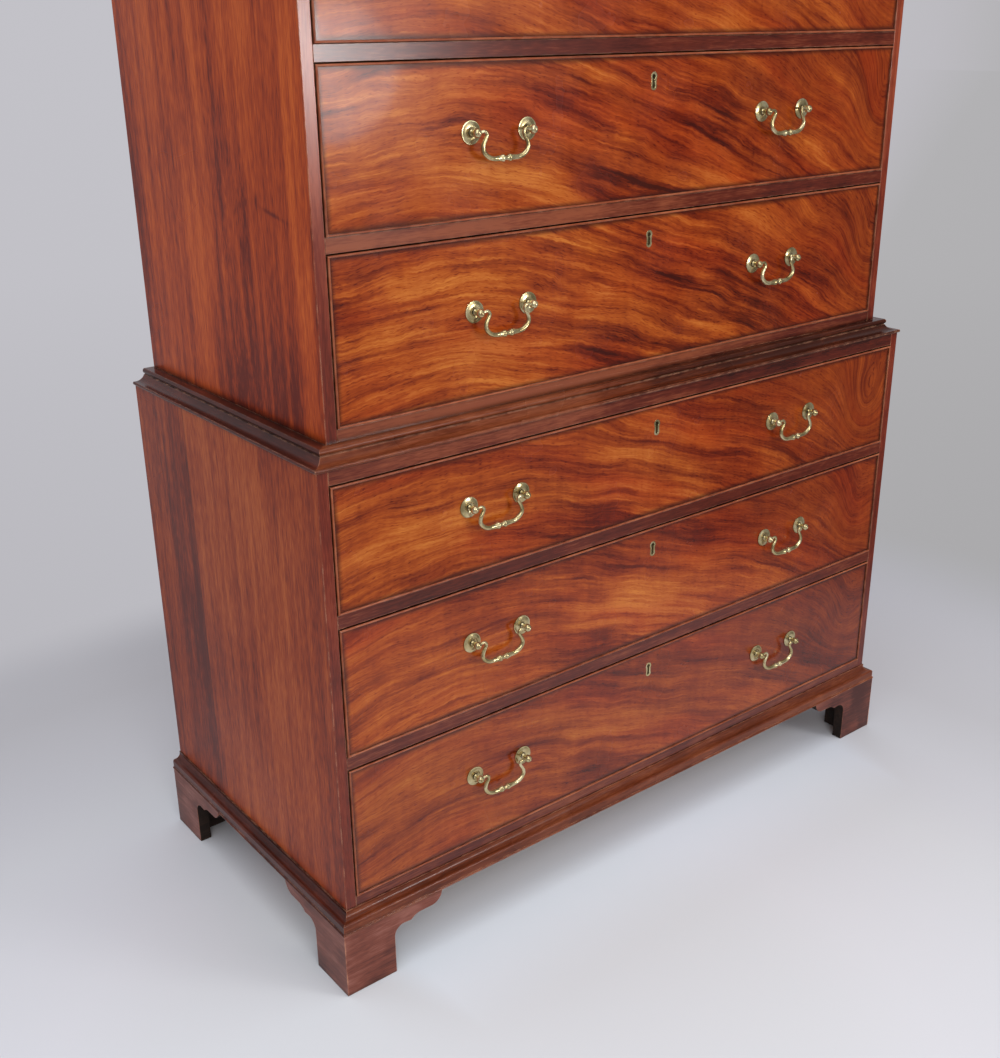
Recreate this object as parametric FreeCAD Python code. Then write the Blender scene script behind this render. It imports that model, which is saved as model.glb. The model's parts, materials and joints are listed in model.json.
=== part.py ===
import FreeCAD, Part
import math
import os

# Chest on chest: an upper case of drawers that seats inside a moulding on a lower case.
# Millimetres. X is the width, the drawers pull out towards -Y, Z is up, the floor is z = 0.
# The origin is the middle of the chest's footprint, with its handles.

same_point = 0.001              # an outline closer than this to its start is closed

# the two cases
base_width = 1120.0
base_depth = 524.0
upper_inset = 32.0              # the upper case stands in this far from each side of the base
upper_setback = 28.0            # and its front this far behind the base's front
side_thickness = 16.0
rail_thickness = 18.5
rail_width = 60.0               # front to back
rail_housing = 5.0              # how far rails and dustboards enter the sides
housing_setback = 6.0           # the housings stop short of the front edge
dustboard_thickness = 8.0
back_board_thickness = 10.0
back_rebate = 8.0               # the side's rear edge laps the back boards by this much
back_board_count = 5
base_top_board_thickness = 19.0
base_bottom_board_thickness = 22.0
frame_strip_width = 60.0        # the frame under the base, which carries the feet
frame_strip_thickness = 20.0
upper_bottom_board_thickness = 18.5
upper_plinth_strip_height = 18.8
upper_plinth_strip_width = 50.0
upper_top_board_thickness = 24.0
partition_thickness = 18.5
seat_gap = 0.4                  # between the two cases, and round the upper case in its moulding
moulding_clearance = 0.5

# drawer heights, cock beads included
base_bottom_drawer_height = 197.5
base_middle_drawer_height = 183.0
base_top_drawer_height = 168.5
upper_bottom_drawer_height = 206.0
upper_middle_drawer_height = 184.5
upper_top_drawer_height = 166.0
short_drawer_height = 145.0

# drawers
drawer_side_gap = 1.0
drawer_bottom_gap = 0.4
drawer_top_gap = 1.6
drawer_back_gap = 12.0
front_thickness = 20.0
bead_thickness = 3.0
bead_stand = 2.2                # the cock bead stands proud of the front
bead_rebate = 5.0               # and is let into it this deep
lining_thickness = 10.0         # drawer sides and back
lining_drop = 3.0               # the sides stop below the front's upper edge
back_drop = 4.0                 # and the back stops below the sides
drawer_bottom_thickness = 6.0
drawer_bottom_height = 8.0      # underside of the bottom above the drawer's lower edge
groove_depth = 5.0
runner_width = 12.0
dovetail_lap = 6.0
dovetail_pitch = 42.0
dovetail_share = 0.6            # of the pitch that is tail
dovetail_slope = math.tan(math.radians(10.0))
stop_width = 44.0
stop_depth = 28.0
stop_height = 5.0
stop_gap = 0.5
stop_inset = 110.0

# feet and plinth
foot_height = 101.5
foot_stand = 15.0               # the feet stand out from the case's sides and front
foot_thickness = 19.0
foot_width = 81.0
arch_radius = 15.5
arch_flat = 12.5
notch_length = 15.0
notch_bulge = 1.5
lobe_flat = 19.0
lobe_radius = 20.0
cusp_depth = 26.5               # below the moulding
cusp_drop = 1.0
lobe_depth = 19.5
rear_bracket_foot = 40.0
rear_bracket_length = 132.0
rear_bracket_end = 14.0
glue_block = 38.0
glue_block_lift = 2.0
plinth_height = 27.0
plinth_band = 14.0              # lower flat part of the plinth moulding
plinth_bead = 2.6
plinth_bead_stand = 0.9
plinth_cove_start = 1.5
plinth_cove_depth = 3.6
plinth_top_fillet = 1.5
plinth_arris = 3.0

# waist moulding
waist_height = 22.0
waist_nosing = 3.0              # hangs over the base's sides and front
waist_nosing_height = 4.5
waist_cove_top = 13.0
waist_cove_inset = 15.5
waist_cove_depth = 2.3
waist_bead_height = 7.6
waist_bead_stand = 2.4
waist_quirk = 1.0

# cornice
cornice_height = 84.0
cornice_projection = 44.0
cornice_lap = 10.0              # overlap on the upper case's top edge
cornice_rim = 22.0
cornice_back_height = 34.0
cornice_foot = 3.0
cornice_foot_height = 5.0
cornice_astragal = 6.5
cornice_cove_top = 60.0
cornice_cove_inset = 9.0
cornice_cove_depth = 8.3
cornice_fillet = 4.0
cornice_quirk = 1.5
cornice_crown_fillet = 7.0

# handles
base_handle_offset = 296.0      # handle centre from the chest's middle
upper_handle_offset = 260.0
handle_rise = 10.0              # post centres above the drawer's middle
post_spacing = 86.6
post_standoff = 13.0            # bail axis from the drawer's face
ball_radius = 5.5
ball_tip = 1.0
ball_tip_flat = 0.8
post_neck_radius = 3.0
post_collar_radius = 5.6
post_collar_height = 1.6
shank_radius = 2.5
shank_clearance = 0.25
nut_radius = 6.5
nut_thickness = 4.0
shank_end = 2.0                 # thread past the nut
rosette_radius = 14.25
rosette_rim = 1.5
rosette_middle = 2.5
rosette_rim_width = 3.2
rosette_rim_height = 1.2
rosette_dish = 0.25
bail_pin_radius = 1.7
bail_pin_clearance = 0.05
bail_pin_depth = 4.5            # of the blind hole from the ball's skin
bail_pin_end_gap = 0.5
bail_shoulder_gap = 0.4
bail_limb_radius = 2.5
bail_loop_reach = 16.0
bail_loop_radius = 4.5
bail_elbow_reach = 6.5
bail_elbow_radius = 7.0
bail_drop = 31.0
bail_grip_radius = 3.6
bail_collar_radius = 4.5
bail_collar_width = 4.0
bail_neck_radius = 2.7
bail_neck_half = 2.4

# keyholes and locks
keyhole_drop = 22.5             # liner's top below the drawer's top
liner_height = 23.5
liner_head_radius = 5.8
liner_body_half = 4.7
liner_foot_radius = 5.2
liner_rim = 2.8
liner_depth = 8.0
lock_width = 62.0
lock_height = 50.0
lock_thickness = 9.0
bolt_width = 16.0
bolt_thickness = 5.0
bolt_setback = 1.5
key_depth_in_lock = 6.0

# heights from the floor
base_bottom_board_z = foot_height + frame_strip_thickness
base_floor_z = base_bottom_board_z + base_bottom_board_thickness
row_gap = drawer_bottom_gap + drawer_top_gap
base_rail_1_z = base_floor_z + base_bottom_drawer_height + row_gap
base_rail_2_z = base_rail_1_z + rail_thickness + base_middle_drawer_height + row_gap
base_top_board_z = base_rail_2_z + rail_thickness + base_top_drawer_height + row_gap
base_top_z = base_top_board_z + base_top_board_thickness
upper_z = base_top_z + seat_gap
upper_bottom_board_z = upper_z + upper_plinth_strip_height
upper_floor_z = upper_bottom_board_z + upper_bottom_board_thickness
upper_rail_1_z = upper_floor_z + upper_bottom_drawer_height + row_gap
upper_rail_2_z = upper_rail_1_z + rail_thickness + upper_middle_drawer_height + row_gap
upper_rail_3_z = upper_rail_2_z + rail_thickness + upper_top_drawer_height + row_gap
upper_top_board_z = upper_rail_3_z + rail_thickness + short_drawer_height + row_gap
upper_top_z = upper_top_board_z + upper_top_board_thickness
cornice_z = upper_top_z - cornice_lap
total_height = cornice_z + cornice_height

# front, back and half widths
handle_reach = post_standoff + ball_radius + ball_tip
plinth_reach = foot_stand + plinth_bead_stand
front_reach = max(handle_reach, plinth_reach, cornice_projection - upper_setback)
base_front_y = (front_reach - base_depth) / 2
back_y = base_front_y + base_depth
upper_front_y = base_front_y + upper_setback
base_half = base_width / 2
upper_half = base_half - upper_inset

sweep_margin = 200.0            # mouldings are cut from longer lengths
quarter_bulge = 1 - math.cos(math.pi / 4)


def at(x, y, z):
    return FreeCAD.Vector(x, y, z)


def box(x0, x1, y0, y1, z0, z1):
    return Part.makeBox(x1 - x0, y1 - y0, z1 - z0, at(x0, y0, z0))


def outline(steps, place):
    # A step is a point, or a pair of points: an arc through the first to the second.
    start = place(*steps[0])
    here = start
    edges = []
    for step in steps[1:]:
        if isinstance(step[0], tuple):
            there = place(*step[1])
            edges.append(Part.Arc(here, place(*step[0]), there).toShape())
        else:
            there = place(*step)
            edges.append(Part.LineSegment(here, there).toShape())
        here = there
    if here.distanceToPoint(start) > same_point:
        edges.append(Part.LineSegment(here, start).toShape())
    return Part.Face(Part.Wire(edges))


def on_x(x):
    return lambda y, z: at(x, y, z)


def on_y(y):
    return lambda x, z: at(x, y, z)


def on_z(z):
    return lambda x, y: at(x, y, z)


def mirrored(shape):
    return shape.mirror(at(0, 0, 0), at(1, 0, 0))


def bulge(start, end, amount):
    # the middle point of an arc that stands off its chord, to the left of start-end
    mx = (start[0] + end[0]) / 2
    my = (start[1] + end[1]) / 2
    dx = end[0] - start[0]
    dy = end[1] - start[1]
    length = math.hypot(dx, dy)
    return (mx - dy / length * amount, my + dx / length * amount)


def arc_to(start, end, amount):
    return (bulge(start, end, amount), end)


nodes = {}


def write(name, solids):
    nodes[name] = Part.makeCompound(solids)


# --- mouldings: one length across the front and one down each side, mitred at the front corners

def moulding(profile, half, front, z, front_margin, side_margin):
    # profile(margin) gives steps of (distance out from the case's face, height); it runs in to -margin
    far = half + sweep_margin
    top = z + sweep_margin
    near_y = front - sweep_margin
    front_face = outline(profile(front_margin), lambda out, up: at(-far, front - out, z + up))
    front_plan = [(-far, near_y), (far, near_y)]
    front_plan += [(half - front_margin, front + front_margin), (front_margin - half, front + front_margin)]
    front_clip = outline(front_plan, on_z(z - sweep_margin)).extrude(at(0, 0, 2 * sweep_margin))
    front_run = front_face.extrude(at(2 * far, 0, 0)).common(front_clip)
    side_face = outline(profile(side_margin), lambda out, up: at(half + out, near_y, z + up))
    side_plan = [(far, near_y), (half - front_margin, front + front_margin)]
    if side_margin > front_margin:
        side_plan += [(half - side_margin, front + front_margin)]
    side_plan += [(half - side_margin, back_y), (far, back_y)]
    side_clip = outline(side_plan, on_z(z - sweep_margin)).extrude(at(0, 0, top - z + sweep_margin))
    side_run = side_face.extrude(at(0, back_y - near_y, 0)).common(side_clip)
    return [front_run, side_run, mirrored(side_run)]


def plinth_profile(margin):
    band_top = plinth_height - plinth_cove_start
    face = foot_stand - plinth_bead_stand
    arris = (face, plinth_band - plinth_arris / 2)
    shoulder = (face - plinth_arris, plinth_band + plinth_arris / 2)
    cove_end = (plinth_top_fillet, band_top)
    lip = foot_stand + plinth_bead_stand
    return [
        (-margin, 0), (lip, 0), arc_to((lip, 0), (face, plinth_bead), -plinth_bead_stand / 2),
        arris, arc_to(arris, shoulder, -plinth_arris / 4),
        arc_to(shoulder, cove_end, plinth_cove_depth),
        (plinth_top_fillet, plinth_height), (-margin, plinth_height)]


def waist_profile(margin):
    nosing_foot = (waist_nosing - waist_nosing_height / 4, 0)
    nosing_head = (nosing_foot[0], waist_nosing_height)
    cove_foot = (-waist_nosing_height / 2, waist_nosing_height)
    cove_head = (-waist_cove_inset, waist_cove_top)
    bead_foot = (-waist_cove_inset - waist_quirk, waist_height - waist_bead_height)
    bead_head = (bead_foot[0], waist_height)
    bead_mid = (bead_foot[0] + waist_bead_stand, waist_height - waist_bead_height / 2)
    return [
        (-margin, 0), nosing_foot, arc_to(nosing_foot, nosing_head, -waist_nosing_height / 4),
        cove_foot, arc_to(cove_foot, cove_head, waist_cove_depth),
        (bead_foot[0], waist_cove_top), bead_foot, (bead_mid, bead_head), (-margin, waist_height)]


def cornice_profile(margin):
    lap_top = cornice_lap
    astragal_foot = (cornice_foot, cornice_foot_height)
    astragal_head = (cornice_foot, cornice_foot_height + cornice_astragal)
    cove_foot = (cornice_foot + cornice_quirk, cornice_foot_height + cornice_astragal)
    cove_head = (cornice_projection - cornice_cove_inset, cornice_cove_top)
    crown_foot = (cove_head[0] + cornice_quirk, cornice_cove_top + cornice_fillet)
    crown_head = (cornice_projection, cornice_height - cornice_crown_fillet)
    return [
        (0, 0), (cornice_foot, 0), astragal_foot,
        arc_to(astragal_foot, astragal_head, -cornice_astragal / 2),
        cove_foot, arc_to(cove_foot, cove_head, cornice_cove_depth),
        (crown_foot[0], cornice_cove_top), crown_foot,
        arc_to(crown_foot, crown_head, -cornice_fillet / 2),
        (cornice_projection, cornice_height), (cornice_projection - cornice_rim, cornice_height),
        (-margin, cornice_back_height), (-margin, lap_top), (0, lap_top)]


# --- carcasses

def dustboard(half, front, z):
    return box(-half + side_thickness - rail_housing, half - side_thickness + rail_housing,
               front + rail_width, back_y - back_board_thickness, z + rail_thickness - dustboard_thickness,
               z + rail_thickness)


def rail(half, front, z):
    inner = half - side_thickness
    bar = box(-inner, inner, front, front + rail_width, z, z + rail_thickness)
    stub = box(-inner - rail_housing, inner + rail_housing, front + housing_setback, front + rail_width,
               z, z + rail_thickness)
    return bar.fuse(stub).removeSplitter()


def back_boards(half, z0, z1):
    edge = half - back_rebate
    pitch = 2 * edge / back_board_count
    front = back_y - back_board_thickness
    return [box(-edge + i * pitch, -edge + (i + 1) * pitch, front, back_y, z0, z1)
            for i in range(back_board_count)]


def stops(centres, front, z):
    near = front + front_thickness + stop_gap
    return [box(x - stop_width / 2, x + stop_width / 2, near, near + stop_depth, z, z + stop_height)
            for x in centres]


def case_sides(half, front, z0, z1, housed):
    side = box(half - side_thickness, half, front, back_y, z0, z1)
    rebate_front = back_y - back_board_thickness
    side = side.cut(box(half - side_thickness, half - back_rebate, rebate_front, back_y, z0, z1))
    for piece in housed:
        side = side.cut(piece)
    return [mirrored(side), side]


def base_case():
    inner = base_half - side_thickness
    board_back = back_y - back_board_thickness
    rail_zs = [base_rail_1_z, base_rail_2_z]
    rails = [rail(base_half, base_front_y, z) for z in rail_zs]
    dust = [dustboard(base_half, base_front_y, z) for z in rail_zs]
    left, right = case_sides(base_half, base_front_y, base_bottom_board_z, base_top_z, rails + dust)
    write("base_left_side", [left])
    write("base_right_side", [right])
    write("base_top_board", [box(-inner, inner, base_front_y, board_back, base_top_board_z, base_top_z)])
    strip_back = back_y - frame_strip_width
    strip_front = base_front_y + frame_strip_width
    side_strip = box(base_half - frame_strip_width, base_half, strip_front, strip_back,
                     foot_height, base_bottom_board_z)
    write("base_bottom_board", [
        box(-inner, inner, base_front_y, board_back, base_bottom_board_z, base_floor_z),
        box(-base_half, base_half, base_front_y, strip_front, foot_height, base_bottom_board_z),
        box(-base_half, base_half, strip_back, back_y, foot_height, base_bottom_board_z),
        side_strip, mirrored(side_strip)])
    write("base_back_boards", back_boards(base_half, base_bottom_board_z, base_top_z))
    write("base_drawer_rails", rails)
    stop_x = inner - stop_inset
    pieces = list(dust)
    for z in [base_floor_z] + [z + rail_thickness for z in rail_zs]:
        pieces += stops([-stop_x, stop_x], base_front_y, z)
    write("base_dustboards_and_stops", pieces)
    write("plinth_moulding", moulding(plinth_profile, base_half, base_front_y, foot_height, 0.0, 0.0))
    waist_front = upper_setback - moulding_clearance
    waist_side = upper_inset - moulding_clearance
    write("waist_moulding",
          moulding(waist_profile, base_half, base_front_y, base_top_z, waist_front, waist_side))


def upper_case():
    inner = upper_half - side_thickness
    board_back = back_y - back_board_thickness
    rail_zs = [upper_rail_1_z, upper_rail_2_z, upper_rail_3_z]
    rails = [rail(upper_half, upper_front_y, z) for z in rail_zs]
    dust = [dustboard(upper_half, upper_front_y, z) for z in rail_zs]
    left, right = case_sides(upper_half, upper_front_y, upper_z, upper_top_z, rails + dust)
    write("upper_left_side", [left])
    write("upper_right_side", [right])
    write("upper_top_board", [box(-inner, inner, upper_front_y, board_back, upper_top_board_z, upper_top_z)])
    strip_front = upper_front_y + upper_plinth_strip_width
    strip_back = board_back - upper_plinth_strip_width
    write("upper_bottom_board", [
        box(-inner, inner, upper_front_y, board_back, upper_bottom_board_z, upper_floor_z),
        box(-inner, inner, upper_front_y, strip_front, upper_z, upper_bottom_board_z),
        box(-inner, inner, strip_back, board_back, upper_z, upper_bottom_board_z)])
    write("upper_back_boards", back_boards(upper_half, upper_z, upper_top_z))
    write("upper_drawer_rails", rails)
    write("upper_partition", [box(-partition_thickness / 2, partition_thickness / 2, upper_front_y,
                                  board_back, upper_rail_3_z + rail_thickness, upper_top_board_z)])
    stop_x = inner - stop_inset
    short_x = partition_thickness / 2 + stop_inset
    pieces = list(dust)
    for z in [upper_floor_z] + [z + rail_thickness for z in rail_zs]:
        pieces += stops([-stop_x, stop_x], upper_front_y, z)
    pieces += stops([-short_x, short_x], upper_front_y, upper_rail_3_z + rail_thickness)
    write("upper_dustboards_and_stops", pieces)
    write("cornice",
          moulding(cornice_profile, upper_half, upper_front_y, cornice_z, side_thickness, side_thickness))


# --- bracket feet

def bracket_steps():
    knee = foot_height - cusp_depth + cusp_drop
    arch_end = foot_width + arch_radius
    cusp = (arch_end + arch_flat, foot_height - cusp_depth)
    lobe = (cusp[0] + notch_length, foot_height - lobe_depth)
    turn = (lobe[0] + lobe_flat, lobe[1])
    end = (turn[0] + lobe_radius, foot_height)
    return [
        (0, 0), (foot_width, 0), (foot_width, knee - arch_radius),
        arc_to((foot_width, knee - arch_radius), (arch_end, knee), quarter_bulge * arch_radius),
        cusp, arc_to(cusp, lobe, notch_bulge),
        turn, arc_to(turn, end, -quarter_bulge * lobe_radius), (0, foot_height)]


def feet():
    corner_x = base_half + foot_stand
    corner_y = base_front_y - foot_stand
    length = foot_width + arch_radius + arch_flat + notch_length + lobe_flat + lobe_radius
    tall = at(0, 0, foot_height)
    inner_x = corner_x - foot_thickness
    inner_y = corner_y + foot_thickness
    front = outline(bracket_steps(), lambda s, z: at(corner_x - s, corner_y, z))
    front = front.extrude(at(0, foot_thickness, 0))
    front_plan = [(corner_x, corner_y), (corner_x - length, corner_y),
                  (corner_x - length, inner_y), (inner_x, inner_y)]
    front = front.common(outline(front_plan, on_z(0)).extrude(tall))
    side = outline(bracket_steps(), lambda s, z: at(corner_x, corner_y + s, z))
    side = side.extrude(at(-foot_thickness, 0, 0))
    side_plan = [(corner_x, corner_y), (corner_x, corner_y + length),
                 (inner_x, corner_y + length), (inner_x, inner_y)]
    side = side.common(outline(side_plan, on_z(0)).extrude(tall))
    block = box(inner_x - glue_block, inner_x, inner_y, inner_y + glue_block, glue_block_lift, foot_height)
    front_foot = [front, side, block]
    rear_side = outline(bracket_steps(), lambda s, z: at(corner_x, back_y - s, z))
    rear_side = rear_side.extrude(at(-foot_thickness, 0, 0))
    slope = [(0, 0), (rear_bracket_foot, 0), (rear_bracket_length, foot_height - rear_bracket_end),
             (rear_bracket_length, foot_height), (0, foot_height)]
    rear_back = outline(slope, lambda s, z: at(inner_x - s, back_y, z)).extrude(at(0, -foot_thickness, 0))
    rear_inner = back_y - foot_thickness
    rear_block = box(inner_x - glue_block, inner_x, rear_inner - glue_block, rear_inner,
                     glue_block_lift, foot_height)
    rear_foot = [rear_side, rear_back, rear_block]
    write("front_right_foot", front_foot)
    write("front_left_foot", [mirrored(piece) for piece in front_foot])
    write("rear_right_foot", rear_foot)
    write("rear_left_foot", [mirrored(piece) for piece in rear_foot])


# --- brass handles: each part is made about the left post's centre on the drawer's face, and moved

def turned(steps):
    # steps are (distance out from the drawer's face, radius)
    return outline(steps, lambda out, r: at(r, -out, 0)).revolve(at(0, 0, 0), at(0, 1, 0), 360)


def make_post():
    inside = front_thickness + nut_thickness + shank_end
    collar_top = rosette_middle + post_collar_height
    ball_start = post_standoff - math.sqrt(ball_radius ** 2 - post_neck_radius ** 2)
    tip_radius = ball_radius / 3
    tip_start = post_standoff + math.sqrt(ball_radius ** 2 - tip_radius ** 2)
    neck = (collar_top + ball_start) / 2
    steps = [
        (-inside, 0), (-inside, shank_radius), (rosette_middle, shank_radius),
        (rosette_middle, post_collar_radius), (collar_top, post_collar_radius),
        arc_to((collar_top, post_collar_radius), (neck, post_neck_radius), -0.4),
        (ball_start, post_neck_radius),
        ((post_standoff, ball_radius), (tip_start, tip_radius)),
        arc_to((tip_start, tip_radius), (handle_reach, ball_tip_flat), 0.2), (handle_reach, 0)]
    return turned(steps)


def make_rosette():
    hole = shank_radius + shank_clearance
    rim_top = (rosette_rim, rosette_radius)
    dish = (rosette_rim, rosette_radius - rosette_rim_width)
    boss = (rosette_middle, post_collar_radius + rosette_dish)
    return turned([(0, hole), (0, rosette_radius), rim_top, arc_to(rim_top, dish, rosette_rim_height),
                   arc_to(dish, boss, -rosette_dish), (rosette_middle, hole)])


def make_nut():
    hole = shank_radius + bail_pin_clearance
    steps = [(nut_radius * math.cos(math.radians(60 * i)), nut_radius * math.sin(math.radians(60 * i)))
             for i in range(6)]
    nut = outline(steps, on_y(front_thickness)).extrude(at(0, nut_thickness, 0))
    return nut.cut(Part.makeCylinder(hole, nut_thickness, at(0, front_thickness, 0), at(0, 1, 0)))


def blind_hole(direction):
    start = ball_radius - bail_pin_depth
    return Part.makeCylinder(bail_pin_radius + bail_pin_clearance, ball_radius,
                             at(direction * start, -post_standoff, 0), at(direction, 0, 0))


def rounded(before, corner, after, radius):
    # start, middle and end of the arc that rounds a corner
    to_before = FreeCAD.Vector(before[0] - corner[0], before[1] - corner[1], 0).normalize()
    to_after = FreeCAD.Vector(after[0] - corner[0], after[1] - corner[1], 0).normalize()
    half_angle = to_before.getAngle(to_after) / 2
    cut = radius / math.tan(half_angle)
    inward = (to_before + to_after).normalize()
    middle = radius / math.sin(half_angle) - radius
    start = (corner[0] + to_before.x * cut, corner[1] + to_before.y * cut)
    arc_middle = (corner[0] + inward.x * middle, corner[1] + inward.y * middle)
    end = (corner[0] + to_after.x * cut, corner[1] + to_after.y * cut)
    return start, arc_middle, end


def make_bail():
    # about the middle of the handle: x along the drawer, z up, in the plane of the ball heads
    half = post_spacing / 2
    place = on_y(-post_standoff)
    shoulder = (-half + ball_radius + bail_shoulder_gap, 0.0)
    loop = (-half + bail_loop_reach, 0.0)
    elbow = (-half + bail_elbow_reach, -bail_drop)
    loop_start, loop_middle, loop_end = rounded(shoulder, loop, elbow, bail_loop_radius)
    elbow_start, elbow_middle, elbow_end = rounded(loop, elbow, (0.0, -bail_drop), bail_elbow_radius)
    path = Part.Wire([
        Part.LineSegment(place(*shoulder), place(*loop_start)).toShape(),
        Part.Arc(place(*loop_start), place(*loop_middle), place(*loop_end)).toShape(),
        Part.LineSegment(place(*loop_end), place(*elbow_start)).toShape(),
        Part.Arc(place(*elbow_start), place(*elbow_middle), place(*elbow_end)).toShape()])
    circle = Part.Circle(place(*shoulder), at(1, 0, 0), bail_limb_radius)
    limb = path.makePipeShell([Part.Wire([circle.toShape()])], True, True)
    pin_start = -half + ball_radius - bail_pin_depth + bail_pin_end_gap
    pin = Part.makeCylinder(bail_pin_radius, shoulder[0] - pin_start, place(pin_start, 0), at(1, 0, 0))
    collar_end = bail_neck_half + bail_collar_width
    collar_middle = ((bail_neck_half + collar_end) / 2, bail_collar_radius)
    right = [(bail_neck_half, bail_neck_radius), (collar_middle, (collar_end, bail_grip_radius)),
             (-elbow_end[0], bail_limb_radius), (-elbow_end[0], 0.0)]
    left = [(elbow_end[0], 0.0), (elbow_end[0], bail_limb_radius), (-collar_end, bail_grip_radius),
            ((-collar_middle[0], bail_collar_radius), (-bail_neck_half, bail_neck_radius))]
    grip = outline(left + right, lambda x, r: place(x, r - bail_drop))
    grip = grip.revolve(place(0, -bail_drop), at(1, 0, 0), 360)
    return grip.multiFuse([limb, mirrored(limb), pin, mirrored(pin)]).removeSplitter()


post = make_post()
left_post = post.cut(blind_hole(1))
right_post = post.cut(blind_hole(-1))
rosette = make_rosette()
nut = make_nut()
bail = make_bail()


def moved(shape, x, y, z):
    copy = shape.copy()
    copy.translate(at(x, y, z))
    return copy


def handle_solids(x, face, z):
    pieces = []
    for side, own_post in ((-1, left_post), (1, right_post)):
        post_x = x + side * post_spacing / 2
        pieces += [moved(piece, post_x, face, z) for piece in (own_post, rosette, nut)]
    return pieces


# --- keyhole liners and locks

def keyhole(x, face, top, rim, depth):
    # the liner's outer outline, or with a rim its opening, as a prism going in from the face
    head = liner_head_radius - rim
    body = liner_body_half - rim
    foot = liner_foot_radius - rim
    head_z = top - liner_head_radius
    foot_z = top - liner_height + liner_foot_radius
    into = at(0, 1, 0)
    shape = Part.makeCylinder(head, depth, at(x, face, head_z), into)
    shape = shape.fuse(Part.makeCylinder(foot, depth, at(x, face, foot_z), into))
    return shape.fuse(box(x - body, x + body, face, face + depth, foot_z, head_z)).removeSplitter()


def lock_case(x, face, top):
    back = face + front_thickness
    return box(x - lock_width / 2, x + lock_width / 2, back - lock_thickness, back, top - lock_height, top)


# --- drawers

def tails(x0, x1, root_y, tip_y, z0, z1):
    # a row of dovetails on the end of a drawer side, wider at the tip
    count = max(2, round((z1 - z0) / dovetail_pitch))
    pitch = (z1 - z0) / count
    root = pitch * dovetail_share / 2
    tip = root + abs(tip_y - root_y) * dovetail_slope
    shapes = []
    for i in range(count):
        z = z0 + (i + 0.5) * pitch
        steps = [(root_y, z - root), (root_y, z + root), (tip_y, z + tip), (tip_y, z - tip)]
        shapes.append(outline(steps, on_x(x0)).extrude(at(x1 - x0, 0, 0)))
    return shapes


def cock_beads(x0, x1, z0, z1, face):
    nose = face - bead_stand
    swell = nose + bead_thickness / 2
    inside = face + bead_rebate
    back = face + front_thickness
    t = bead_thickness

    def section(corner, outward):
        # across a bead: from its outer edge, rounded at the nose
        arc = ((corner + outward * t / 2, nose), (corner + outward * t, swell))
        return [(corner, inside), (corner, swell), arc, (corner + outward * t, inside)]

    def clip(points):
        return outline(points, on_y(nose)).extrude(at(0, inside - nose, 0))

    low = outline(section(z0, 1), lambda z, y: at(x0, y, z)).extrude(at(x1 - x0, 0, 0))
    high = outline(section(z1, -1), lambda z, y: at(x0, y, z)).extrude(at(x1 - x0, 0, 0))
    left = outline(section(x0, 1), lambda x, y: at(x, y, z0)).extrude(at(0, 0, z1 - z0))
    right = outline(section(x1, -1), lambda x, y: at(x, y, z0)).extrude(at(0, 0, z1 - z0))
    low = low.common(clip([(x0, z0), (x1, z0), (x1 - t, z0 + t), (x0 + t, z0 + t)]))
    high = high.common(clip([(x0, z1), (x0 + t, z1 - t), (x1 - t, z1 - t), (x1, z1)]))
    left = left.common(clip([(x0, z0), (x0 + t, z0 + t), (x0 + t, z1 - t), (x0, z1)]))
    right = right.common(clip([(x1, z0), (x1, z1), (x1 - t, z1 - t), (x1 - t, z0 + t)]))
    high = high.fuse(box(x0, x1, inside, back, z1 - t, z1)).removeSplitter()
    return low, high, left, right


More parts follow.
